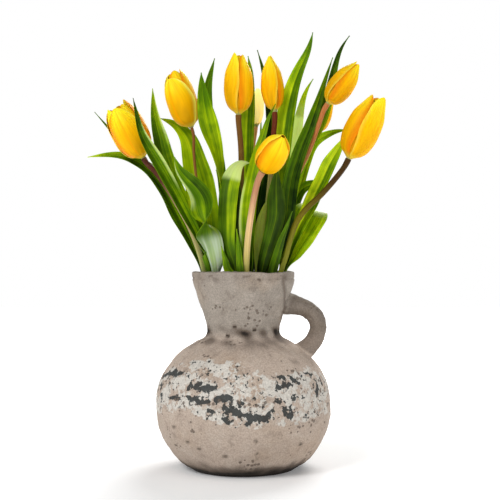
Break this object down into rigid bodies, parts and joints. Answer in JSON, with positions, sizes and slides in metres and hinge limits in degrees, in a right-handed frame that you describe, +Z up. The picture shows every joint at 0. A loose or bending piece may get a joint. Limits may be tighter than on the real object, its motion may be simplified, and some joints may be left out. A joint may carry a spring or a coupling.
{
  "type": "bunch of tulips in a jug",
  "caption": "Cut tulips with closed blooms and waved leaves, standing in water in a round stoneware jug with a flared neck and a loop handle.",
  "frame": {"origin": "centre of the jug's flat foot", "axes": "+Z up along the jug's axis, +X towards the handle, -Y towards the front of the bunch"},
  "size_m": [0.2952, 0.1851, 0.4348],
  "materials": {
    "stoneware": "matte",
    "water": "gloss",
    "foliage": "satin",
    "petal": "satin"
  },
  "bodies": {
    "root": {"jug": "stoneware", "water": "water", "leafy_stem_a": "foliage", "leafy_stem_b": "foliage", "leafy_stem_c": "foliage", "leafy_stem_d": "foliage", "leafy_stem_e": "foliage", "leafy_stem_f": "foliage", "leafy_stem_g": "foliage", "leafy_stem_h": "foliage", "leafy_stem_i": "foliage", "bloom_a": "petal", "bloom_b": "petal", "bloom_c": "petal", "bloom_d": "petal", "bloom_e": "petal", "bloom_f": "petal", "bloom_g": "petal", "bloom_h": "petal", "bloom_i": "petal"}
  },
  "joints": []
}
